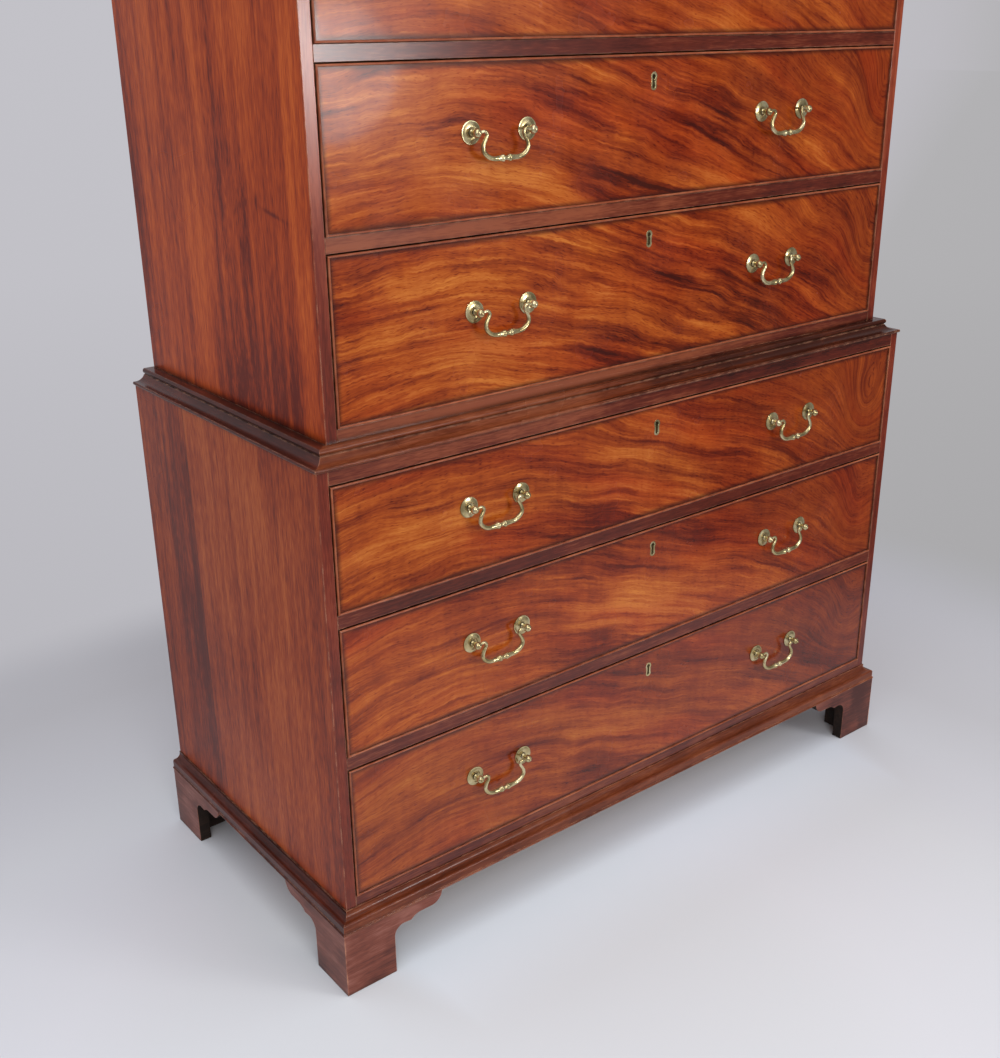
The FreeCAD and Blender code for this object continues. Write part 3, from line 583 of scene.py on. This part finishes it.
mouldingLook = {
    # the paler left and darker right of the front run are painted sheen and painted shade
    **caseLook, "patches": [((0.77, -0.25), (0.03, 0.22), 0.12), ((0.77, 0.3), (0.03, 0.25), -0.35)],
    "stops": threeTones("#38160b", "#642d17", "#894b2d"),
}
sideRunLook = {
    # the side runs take more dirt and painted shade in their hollows
    **caseLook, "grain": "Y", "grimeDepth": 0.95, "grimeReach": 14 * mm,
    "stops": threeTones("#27100a", "#471b10", "#6a3020"),
}
footLook = {
    **caseLook, "cloudDepth": 0.8, "cloudScale": 18.0, "wearReach": 2.5 * mm, "roughness": (0.3, 0.45),
    "patches": [((0.05, 0.53), (0.2, 0.06), -0.3)], "stops": threeTones("#44201a", "#723c2e", "#946052"),
}
beadLook = {**caseLook, "stops": threeTones("#4d1c0c", "#853f22", "#ab6440")}
panelLook = {
    **aged, "grain": "Z", "wander": 0.03, "bands": (0.9, 0.11), "bandDepth": 1.0,
    "streaks": (0.3, 0.014), "streakDepth": 0.95, "pores": (0.02, 0.0018), "poreDepth": 0.8,
    "roughness": (0.26, 0.38), "gloss": 0.18, "relief": 0.05 * mm, "cloudDepth": 0.4, "cloudScale": 7.0,
    "grimeReach": 10 * mm, "wearDepth": 0.95, "wearReach": 2.4 * mm,
    "stops": [(0.16, tint("#651903")), (0.36, tint("#92320a")), (0.56, tint("#ad4410")), (0.84, tint("#c85c1d"))],
}
upperPanelLook = {
    **panelLook, "patches": [((-0.1, 0.83), (0.2, 0.08), -0.2)],
    "cathedrals": [((-0.03, 0.85), (0.03, 0.11), 0.16)],
    "marks": [((-0.135, 1.037), (0.018, 0.002), 0.19), ((-0.095, 1.048), (0.002, 0.006), 0.0)],
}
basePanelLook = {
    **panelLook, "bandDepth": 0.6, "streakDepth": 0.8, "cloudDepth": 0.5, "cloudScale": 5.0,
    "joints": [(0.113, 0.9 * mm, 0.12)],    # (place, width of the gap, how much darker beyond it)
    "patches": [((0.0, 0.62), (0.07, 0.12), 0.16)],
    "stops": [(0.16, tint("#561808")), (0.36, tint("#7c2a0d")), (0.56, tint("#983e15")), (0.84, tint("#b45a26"))],
}
oakLook = {
    "grain": "Y", "wander": 0.02, "bands": (0.5, 0.03), "bandDepth": 0.4, "streaks": (0.2, 0.004),
    "streakDepth": 0.5, "pores": (0.01, 0.0008), "poreDepth": 0.5, "roughness": (0.6, 0.75), "gloss": 0.3,
    "relief": 0.1 * mm, "stops": threeTones("#875a37", "#ad7e4f", "#c79b6b"),
}
pineLook = {
    "grain": "X", "wander": 0.03, "bands": (0.8, 0.02), "bandDepth": 0.6, "streaks": (0.5, 0.006),
    "streakDepth": 0.5, "pores": (0.02, 0.001), "poreDepth": 0.2, "roughness": (0.65, 0.8), "gloss": 0.25,
    "relief": 0.1 * mm, "stops": threeTones("#74492b", "#94643d", "#af7f54"),
}
# near black for the feet's hidden inner faces: painted shade
paintedShadeLook = {**pineLook, "roughness": (0.5, 0.7), "stops": threeTones("#120c09", "#231812", "#3a281d")}
brassLook = {
    "stops": [(0.3, tint("#a29164")), (0.5, tint("#c2b182")), (0.7, tint("#ddd0a5"))],
    "patinaScale": 70.0, "patinaRoughness": 0.4,
    "grime": tint("#3a2f1c"), "grimeReach": 4 * mm, "grimeFrom": (0.3, 0.9, 0.85, 0.0),
    "roughness": (0.17, 0.27), "metal": 0.85, "relief": 0.02 * mm,
}


def agedBrass(look):
    material, tree, shader = newMaterial("aged brass")
    where = combine(tree, *placeOf(tree))
    patina = noise(tree, where, scale=look["patinaScale"], roughness=look["patinaRoughness"])
    colour = ramp(tree, patina, look["stops"])
    hollow = spread(tree, openness(tree, look["grimeReach"]), *look["grimeFrom"])
    colour = blendColour(tree, "MIX", hollow, colour, look["grime"])
    tree.links.new(colour, shader.inputs["Base Color"])
    tree.links.new(spread(tree, patina, *mostNoise, *look["roughness"]), shader.inputs["Roughness"])
    setSockets(shader, Metallic=look["metal"])
    bump(tree, shader, patina, look["relief"])
    return material


mouldingWood = plainWood("mahogany of the mouldings", mouldingLook)
railWood = plainWood("mahogany rail", railLook)
sideRailWood = plainWood("mahogany along the sides", sideRunLook)
stileWood = plainWood("mahogany stile", stileLook)
footWood = plainWood("mahogany of the feet", footLook)
sideFootWood = plainWood("mahogany of the feet, sides", {**footLook, "grain": "Y"})
paintedShadeWood = plainWood("dark wood in painted shade", paintedShadeLook)
panelWood = {"base": plainWood("mahogany panel, base", basePanelLook),
             "upper": plainWood("mahogany panel, upper", upperPanelLook)}
beadWood = plainWood("cock bead", beadLook)
beadStileWood = plainWood("upright cock bead", {**beadLook, "grain": "Z"})
oakWood = plainWood("oak lining", oakLook)
pineWood = plainWood("pine", pineLook)
brassMetal = agedBrass(brassLook)
print("materials made")

cases = ("base", "upper")
caseHalf = {case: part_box(case + "_right_side")[1].x for case in cases}
caseFront = {case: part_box(case + "_right_side")[0].y for case in cases}
easings = {                             # how far the arrises are rounded, in mm
    "plinth": 0.5, "moulding": 0.4, "rail": 0.4, "board": 0.4, "side": 0.9, "foot": 1.3, "back": 1.6,
    "front": 0.35, "lining": 0.5, "fitting": 0.45,
}
showEdge = 5 * mm                       # a pine board has mahogany this deep along its front edge
footFace = 2 * mm                       # a bracket's outer face lies within this of its box
bracketThickness = 19.0 * mm
underSkin = 0.1 * mm                    # a point this far under a face tells which board it belongs to
backing = {"boards": 5, "difference": 0.14}


def isSide(case):
    # the face belongs to a side run of a mitred moulding or bracket, not to its front run
    return lambda c, n: abs(c.x) - caseHalf[case] > caseFront[case] - c.y


def isShowEdge(case):
    return lambda c, n: c.y < caseFront[case] + showEdge


def footRules(low, high):
    reach = max(-low.x, high.x)
    # the feet's hidden faces take painted shade; only the outer front and side faces show the feet's mahogany
    return [(paintedShadeWood, None), (footWood, lambda c, n: n.y < -mostly and c.y < low.y + footFace),
            (sideFootWood, lambda c, n: abs(n.x) > mostly and abs(c.x) > reach - footFace)]


def footMembers(low, high):
    # a rear foot's side bracket, back bracket and glue block
    inner, back = max(-low.x, high.x) - bracketThickness, high.y - bracketThickness
    return [lambda p: abs(p.x) > inner, lambda p: abs(p.x) < inner and p.y > back,
            lambda p: abs(p.x) < inner and p.y < back]


def finishPiece(piece, node):
    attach(piece, bodyOf[node])
    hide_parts(node)


woodwork = {}         # node: (material rules, ease, slot)
members = {}          # node: tests for its boards, where they are eased one by one
for node, case, kind in (("plinth_moulding", "base", "plinth"), ("waist_moulding", "base", "moulding"),
                         ("cornice", "upper", "moulding")):
    woodwork[node] = ([(mouldingWood, None), (sideRailWood, isSide(case))], kind, "mahogany")
for node, wood in (("base_drawer_rails", railWood), ("upper_drawer_rails", railWood), ("upper_partition", stileWood)):
    woodwork[node] = ([(wood, None)], "rail", "mahogany")
for case in cases:
    for board in ("top", "bottom"):
        woodwork[f"{case}_{board}_board"] = ([(pineWood, None), (railWood, isShowEdge(case))], "board", "pine")
for case in cases:
    woodwork[case + "_dustboards_and_stops"] = ([(pineWood, None)], "board", "pine")
for case in cases:
    for side in ("left", "right"):
        rules = [(panelWood[case], None), (stileWood, lambda c, n: n.y < -partly)]
        woodwork[f"{case}_{side}_side"] = (rules, "side", "mahogany")
for foot in ("front_left_foot", "front_right_foot", "rear_left_foot", "rear_right_foot"):
    woodwork[foot] = (footRules(*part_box(foot)), "foot", "mahogany")
    if foot.startswith("rear"):
        members[foot] = footMembers(*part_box(foot))
for case in cases:
    node = case + "_back_boards"
    low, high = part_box(node)
    pitch = (high.x - low.x) / backing["boards"]
    boardLook = {**pineLook, "grain": "Z", "boards": (low.x, pitch, backing["difference"])}
    woodwork[node] = ([(plainWood("pine boards, " + case, boardLook), None)], "back", "pine")
    members[node] = [lambda p, start=low.x + index * pitch, pitch=pitch: start < p.x < start + pitch
                     for index in range(backing["boards"])]


def easedMember(node, inside, rules, easing):
    # one board of a piece made of several, or the whole piece
    board = mergedCopy(node, node + "_eased", drop=inside and (lambda c, n: not inside(c - n * underSkin)))
    paint(board, rules)
    ease(board, easing * mm)
    return board


for node, (rules, kind, slotName) in woodwork.items():
    boards = [easedMember(node, inside, rules, easings[kind]) for inside in members.get(node, [None])]
    piece = joinPieces(node + "_eased", boards) if len(boards) > 1 else boards[0]
    finishPiece(piece, node)
print("case woodwork eased")

veneers = {
    # leaf picks the sheet of veneer, dim its brightness, pull the strength of the whorl;
    # patches are paler or darker places as (middle, size, amount); the paler ones at the left ends, near x = -0.4,
    # are partly paler wood and partly painted sheen
    "upper_top_drawer": {"leaf": 0.0, "contrast": 1.0, "dim": 0.97, "gloss": 0.2, "pull": 0.07, "patches": [
        ((-0.42, 0.0), (0.1, 0.06), 0.06)]},
    "upper_middle_drawer": {"leaf": 0.6, "contrast": 1.1, "dim": 0.96, "gloss": 0.18, "pull": 0.08, "patches": [
        ((-0.38, 0.04), (0.15, 0.05), 0.11), ((-0.02, 0.03), (0.05, 0.02), 0.12), ((0.2, 0.02), (0.07, 0.05), -0.1)]},
    "upper_bottom_drawer": {"leaf": 1.2, "contrast": 1.1, "dim": 0.96, "gloss": 0.18, "pull": 0.07, "patches": [
        ((-0.34, 0.055), (0.12, 0.03), 0.2), ((-0.42, -0.02), (0.1, 0.05), 0.01), ((-0.02, 0.0), (0.1, 0.03), 0.1),
        ((0.17, 0.03), (0.05, 0.05), -0.14), ((0.34, -0.02), (0.08, 0.05), -0.1), ((0.26, 0.07), (0.08, 0.03), 0.1)]},
    "base_top_drawer": {"leaf": 3.0, "contrast": 1.0, "dim": 0.92, "gloss": 0.22, "pull": 0.11, "patches": [
        ((-0.42, 0.02), (0.1, 0.05), 0.08), ((-0.02, 0.03), (0.07, 0.03), 0.12), ((0.2, 0.06), (0.12, 0.03), -0.14)]},
    "base_middle_drawer": {"leaf": 3.5, "contrast": 0.95, "dim": 0.95, "gloss": 0.32, "pull": 0.05, "patches": [
        ((-0.3, 0.085), (0.14, 0.018), -0.13), ((-0.02, -0.02), (0.09, 0.035), 0.14),
        ((0.2, 0.06), (0.14, 0.03), -0.14)]},
    "base_bottom_drawer": {"leaf": 4.0, "contrast": 0.76, "dim": 0.82, "gloss": 0.4, "pull": 0.04, "patches": [
        ((-0.1, 0.0), (0.1, 0.04), 0.08), ((0.1, -0.02), (0.1, 0.05), -0.08), ((0.4, 0.0), (0.1, 0.1), -0.1)]},
    "left_short_drawer": {"leaf": 5.0, "contrast": 1.0, "dim": 1.0, "gloss": 0.2, "pull": 0.0, "patches": []},
}
veneers["right_short_drawer"] = veneers["left_short_drawer"]
cockBead = {"stand": 2.2 * mm, "depth": 5.05 * mm, "width": 3.1 * mm}
hair = 0.02 * mm                        # faces nearer than this lie in one plane

for drawer in drawers:
    low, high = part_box(drawer + "_front")
    face = low.y + cockBead["stand"]
    centre = (0.0, 0.0, (low.z + high.z) / 2)
    half = (max(-low.x, high.x), (high.z - low.z) / 2)
    veneer = figuredVeneer("veneer of " + drawer.replace("_", " "), centre, half, **veneers[drawer])

    def onFace(c, n):
        return abs(c.y - face) < hair and n.y < -straightOn

    def onBead(c, n):
        return c.y < face + cockBead["depth"] and not onFace(c, n)

    front = mergedCopy(drawer + "_front", drawer + "_front_eased")
    paint(front, [(mouldingWood, None), (beadWood, onBead),
                  (beadStileWood, lambda c, n: onBead(c, n) and min(c.x - low.x, high.x - c.x) < cockBead["width"]),
                  (veneer, onFace)])
    ease(front, easings["front"] * mm)
    finishPiece(front, drawer + "_front")
    box = mergedCopy(drawer + "_box", drawer + "_box_eased")
    paint(box, [(oakWood, None)])
    ease(box, easings["lining"] * mm)
    finishPiece(box, drawer + "_box")
print("drawers made")

brasses = {
    "spacing": 86.6, "steps": 36,
    # (distance out, radius) of the shank, collar, neck, ball and button of a post
    "post": [(-26, 0), (-26, 2.5), (2.4, 2.5), (2.4, 3.7), (2.9, 4.0), (3.5, 3.7), (4.0, 2.9), (5.0, 2.5),
             (6.6, 2.5), (7.3, 2.7), (7.8, 3.4), (8.3, 4.1), (9.0, 4.7), (10.2, 5.2), (11.6, 5.45), (13.0, 5.5),
             (14.4, 5.35), (15.8, 4.8), (16.9, 3.9), (17.5, 2.9), (17.7, 2.2), (18.1, 2.0), (18.7, 2.0),
             (19.2, 1.6), (19.5, 0.8), (19.5, 0)],
    # the same for a rosette: a raised rim round a low dome
    "rosette": [(0, 2.8), (0, 13.8), (0.4, 14.15), (0.8, 14.25), (1.2, 14.1), (1.35, 13.7), (1.25, 13.2),
                (1.35, 12.8), (1.8, 11.6), (2.25, 10.0), (2.55, 8.4), (2.65, 7.0), (2.5, 5.9), (2.1, 5.0),
                (1.9, 4.2), (1.9, 2.8), (0, 2.8)],
    # (x, z, radius) steering one swan neck of a bail, from inside the ball
    "limb": [(-39.0, 0.1, 1.75), (-34.1, 1.9, 2.05), (-30.7, 1.4, 2.2), (-28.2, -1.4, 2.3), (-28.6, -5.0, 2.4),
             (-31.6, -9.1, 2.55), (-34.3, -14.3, 2.8), (-35.2, -19.5, 3.05), (-32.8, -24.2, 3.2),
             (-28.2, -28.1, 3.25), (-22.7, -30.8, 3.2), (-17.0, -31.0, 3.1)],
    # (x, radius) along half of the turned grip
    "grip": [(-21.0, 0), (-21.0, 2.5), (-19.4, 3.0), (-17.5, 3.2), (-15, 3.3), (-12, 3.5), (-9.6, 3.8),
             (-7.9, 4.15), (-6.7, 4.5), (-5.7, 4.75), (-4.7, 4.8), (-4.0, 4.5), (-3.5, 3.9), (-3.1, 3.4),
             (-2.4, 3.15), (-1.4, 3.05)],
    "gripWaist": 3.0,
    "drop": 31.0,                        # from the pivots down to the grip's middle
    # what the new posts and rosettes replace lies this near to a post's axis, or less than postReach behind
    # the drawer's face, and further than lockReach from the middle
    "shankReach": 2.53, "postReach": 19.9, "lockReach": 34,
}


def makeBail(look):
    left = tube("limb", look["limb"])
    right = tube("limb", [(-x, z, radius) for x, z, radius in look["limb"]])
    half = look["grip"]
    profile = half + [(0, look["gripWaist"])] + [(-x, radius) for x, radius in reversed(half)]
    grip = turned("grip", profile, look["steps"])
    grip.rotation_euler = (0, 0, math.radians(90))
    grip.location = (0, 0, -look["drop"] * mm)
    settle(grip)
    bail = joinPieces("bail", [left, right, grip])
    bail.data.materials.append(brassMetal)
    return bail


def makeMount(look):
    # a post on its rosette, about the point where the post meets the drawer's face
    parts = [turned("post", look["post"], look["steps"]), turned("rosette", look["rosette"], look["steps"])]
    mount = joinPieces("mount", parts)
    mount.data.materials.append(brassMetal)
    return mount


bailPattern = makeBail(brasses)
mountPattern = makeMount(brasses)
for drawer in drawers:
    node = drawer + "_brasses"
    low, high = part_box(drawer + "_front")
    face = low.y + cockBead["stand"]
    middle = (low.x + high.x) / 2
    bails = [name for name in pins if name.startswith(drawer) and name in nodes]
    postXs = [pins[name].x + side * brasses["spacing"] / 2 * mm for name in bails for side in (-1, 1)]
    postZ = pins[bails[0]].z

    def isPost(c, n):
        # the node's own posts and rosettes, but not the nuts, lock, bolt and keyhole liner
        fromPost = min(math.hypot(c.x - x, c.z - postZ) for x in postXs)
        nearPost = fromPost < brasses["shankReach"] * mm or c.y < face + brasses["postReach"] * mm
        return abs(c.x - middle) > brasses["lockReach"] * mm and nearPost

    fittings = mergedCopy(node, node + "_fittings", drop=isPost)
    fittings.data.materials.append(brassMetal)
    ease(fittings, easings["fitting"] * mm, segments=3)
    parts = [fittings] + [copyPiece(mountPattern, "mount", (x, face, postZ)) for x in postXs]
    piece = joinPieces(drawer + "_brasses_fine", parts)
    finishPiece(piece, node)
    for name in bails:
        bail = copyPiece(bailPattern, name + "_fine", pins[name])
        finishPiece(bail, name)
for pattern in (bailPattern, mountPattern):
    bpy.data.objects.remove(pattern)
print("brasses made")

stageLook = {
    "size": 60.0, "cuts": 8, "paperRoughness": 0.9, "paperGloss": 0.1,
    # a painted pool of light and shade: the paper's colour by distance from the middle of the pool, as a share of
    # poolReach
    "pool": (-0.5, -0.5), "poolReach": 2.4,
    "poolColours": [(0.0, tint("#d7d9d9")), (0.18, tint("#d7d9d9")), (0.24, tint("#d8d9da")),
                    (0.3, tint("#d5d6d7")), (0.36, tint("#d1d2d2")), (0.42, tint("#cacacb")),
                    (0.53, tint("#bebdbd")), (1.0, tint("#b2b2b4"))],
    "cloud": (0.8, 0.15),                # the floor's edge is uneven
    # painted light: paler and bluer in a strip before the plinth, lifting the shade there; the plinth's half width
    # and front are the footprint
    "nearChest": (0.0, 0.19), "nearPaintedLift": (1.12, 1.155, 1.2), "footprint": (0.46, 0.27), "besideShare": 2.5,
    "room": (-0.5, 0.15, 0.3, 1.0),        # how dim the room in front is, and where it turns into the paper
    "roomGlow": (-0.86, -0.7, 0.85, 0.3),  # straight ahead it is brighter
    "edge": (1.05, 1.5),                 # the floor turns into the backdrop at this distance from the chest,
    "backEdge": (0.88, 1.15),            # and straight behind it at this one
    "farShade": (1.2, 6.0, 0.95, 1.0),   # the backdrop is a little darker where it is near
    "ambient": (1.26, 1.3, 1.38),        # how much more light the paper gives than it shows
    # the backdrop from left to right
    "backdrop": [(0.0, tint("#bcbbc1")), (0.5, tint("#c1c0c6")), (0.7, tint("#c3c2c8")), (0.9, tint("#bfbec3")),
                 (0.915, tint("#bcbabf")), (0.93, tint("#b2b1b3")), (1.0, tint("#afaeb0"))],
}


def lengthOf(tree, x, y):
    return calc(tree, "SQRT", plus(tree, times(tree, x, x), times(tree, y, y)))


def skyColour(tree, x, y, look):
    # the paper behind the chest, and for reflections a dimmer room in front of it
    length = lengthOf(tree, x, y)
    share = calc(tree, "MULTIPLY_ADD", calc(tree, "DIVIDE", x, length), 0.5, 0.5)
    paper = ramp(tree, share, look["backdrop"])
    ahead = calc(tree, "DIVIDE", y, length)
    level = calc(tree, "MAXIMUM", spread(tree, ahead, *look["room"]), spread(tree, ahead, *look["roomGlow"]))
    plainRay = minus(tree, 1.0, addNode(tree, "LightPath").outputs["Is Glossy Ray"])
    level = calc(tree, "MAXIMUM", level, plainRay)
    return blendColour(tree, "MULTIPLY", 1.0, paper, combine(tree, level, level, level))


def paperWithPaintedLight(tree, x, y, look):
    # painted light and shade in the paper's colour: a pool of light, and a lift of the shade before the plinth
    px, py = (minus(tree, part, centre) for part, centre in zip((x, y), look["pool"]))
    away = calc(tree, "DIVIDE", lengthOf(tree, px, py), look["poolReach"])
    paper = ramp(tree, away, look["poolColours"])
    halfX, halfY = look["footprint"]
    beyond = calc(tree, "MAXIMUM", minus(tree, calc(tree, "ABSOLUTE", x), halfX), 0.0)
    before = calc(tree, "ABSOLUTE", plus(tree, y, halfY))
    beside = calc(tree, "MULTIPLY_ADD", beyond, look["besideShare"], before)
    near = [spread(tree, beside, *look["nearChest"], part, 1.0) for part in look["nearPaintedLift"]]
    return blendColour(tree, "MULTIPLY", 1.0, paper, combine(tree, *near))


def makeFloor(look):
    bpy.ops.mesh.primitive_plane_add(size=look["size"], location=(0, 0, 0))
    floor = bpy.context.object
    floor.name = "studio_floor"
    openEdit(floor)
    bpy.ops.mesh.subdivide(number_cuts=look["cuts"])
    closeEdit()
    material, tree, shader = newMaterial("studio paper")
    x, y, z = placeOf(tree)
    often, swing = look["cloud"]
    cloud = noise(tree, combine(tree, x, y, z), scale=often)
    reach = plus(tree, lengthOf(tree, x, y), around(tree, cloud, swing))
    tree.links.new(paperWithPaintedLight(tree, x, y, look), shader.inputs["Base Color"])
    setSockets(shader, Roughness=look["paperRoughness"], Specular_IOR_Level=look["paperGloss"])
    # far away the paper shows its plain colour to the camera and in reflections
    farShade = spread(tree, reach, *look["farShade"])
    plain = addNode(tree, "Emission", Color=skyColour(tree, x, y, look), Strength=farShade)
    path = addNode(tree, "LightPath")
    seen = path.outputs["Is Camera Ray"]
    for kind in ("Is Glossy Ray", "Is Transmission Ray"):
        seen = calc(tree, "MAXIMUM", seen, path.outputs[kind])
    share = calc(tree, "MAXIMUM", spread(tree, reach, *look["edge"]), spread(tree, y, *look["backEdge"]))
    mixed = tree.nodes.new("ShaderNodeMixShader")
    feed(tree, mixed.inputs[0], times(tree, seen, share))
    tree.links.new(shader.outputs[0], mixed.inputs[1])
    tree.links.new(plain.outputs[0], mixed.inputs[2])
    tree.links.new(mixed.outputs[0], tree.nodes["Material Output"].inputs["Surface"])
    floor.data.materials.append(material)


def makeWorld(look):
    world = bpy.data.worlds.new("studio")
    bpy.context.scene.world = world
    world.use_nodes = True
    tree = world.node_tree
    direction = addNode(tree, "TexCoord").outputs["Generated"]
    split = addNode(tree, "SeparateXYZ", Vector=direction)
    sky = skyColour(tree, split.outputs["X"], split.outputs["Y"], look)
    path = addNode(tree, "LightPath")
    shown = calc(tree, "MAXIMUM", path.outputs["Is Camera Ray"], path.outputs["Is Glossy Ray"])
    lit = blendColour(tree, "MULTIPLY", 1.0, sky, (*look["ambient"], 1))
    tree.links.new(blendColour(tree, "MIX", shown, lit, sky), tree.nodes["Background"].inputs["Color"])


lamps = {
    # name: (place, aimed at, shape, size, watts); a reflector shows only in reflections, a fill only lights
    "left softbox": ((-1.9, -3.3, 2.9), (0, 0, 0.8), "SQUARE", 2.2, 54),
    "low fill": ((2.0, -3.4, 1.45), (0, 0, 0.7), "SQUARE", 1.1, 46),
    "broad reflector": ((0.82, -3.05, 1.48), (-0.45, -0.2, 1.25), "DISK", 1.44, 8),
    "round reflector": ((1.15, -3.0, 1.10), (-0.45, -0.2, 1.15), "DISK", 0.48, 7),
    "reflector's middle": ((0.91, -2.95, 1.22), (-0.45, -0.2, 1.2), "DISK", 0.3, 9),
    "top softbox": ((-0.3, -0.8, 4.0), (0, 0, 0), "SQUARE", 2.6, 46),
}


def makeLamps(look):
    for name, (place, target, shape, size, watts) in look.items():
        data = bpy.data.lights.new(name, "AREA")
        data.shape = shape
        data.size = size
        data.energy = watts
        lamp = bpy.data.objects.new(name, data)
        bpy.context.scene.collection.objects.link(lamp)
        lamp.location = place
        lamp.rotation_euler = (Vector(target) - Vector(place)).to_track_quat("-Z", "Y").to_euler()
        lamp.visible_camera = False
        lamp.visible_diffuse = "reflector" not in name
        lamp.visible_glossy = "fill" not in name


camera = {"place": (-1.2451, -1.4859, 1.23966), "azimuth": 37.792, "elevation": 21.774, "roll": 0.749,
          "lens": 42.880, "sensor": 36}


def makeCamera(look):
    azimuth, elevation, roll = (math.radians(look[key]) for key in ("azimuth", "elevation", "roll"))
    forward = Vector((math.sin(azimuth) * math.cos(elevation), math.cos(azimuth) * math.cos(elevation),
                      -math.sin(elevation)))
    data = bpy.data.cameras.new("camera")
    data.lens = look["lens"]
    data.sensor_width = look["sensor"]
    viewer = bpy.data.objects.new("camera", data)
    bpy.context.scene.collection.objects.link(viewer)
    viewer.rotation_euler = forward.to_track_quat("-Z", "Y").to_matrix().to_euler()
    viewer.rotation_euler.rotate_axis("Z", -roll)
    viewer.location = look["place"]
    bpy.context.scene.camera = viewer


makeFloor(stageLook)
makeWorld(stageLook)
makeLamps(lamps)
makeCamera(camera)
bpy.context.scene.view_settings.view_transform = "Standard"
print("stage, lamps and camera set")

deselectAll()
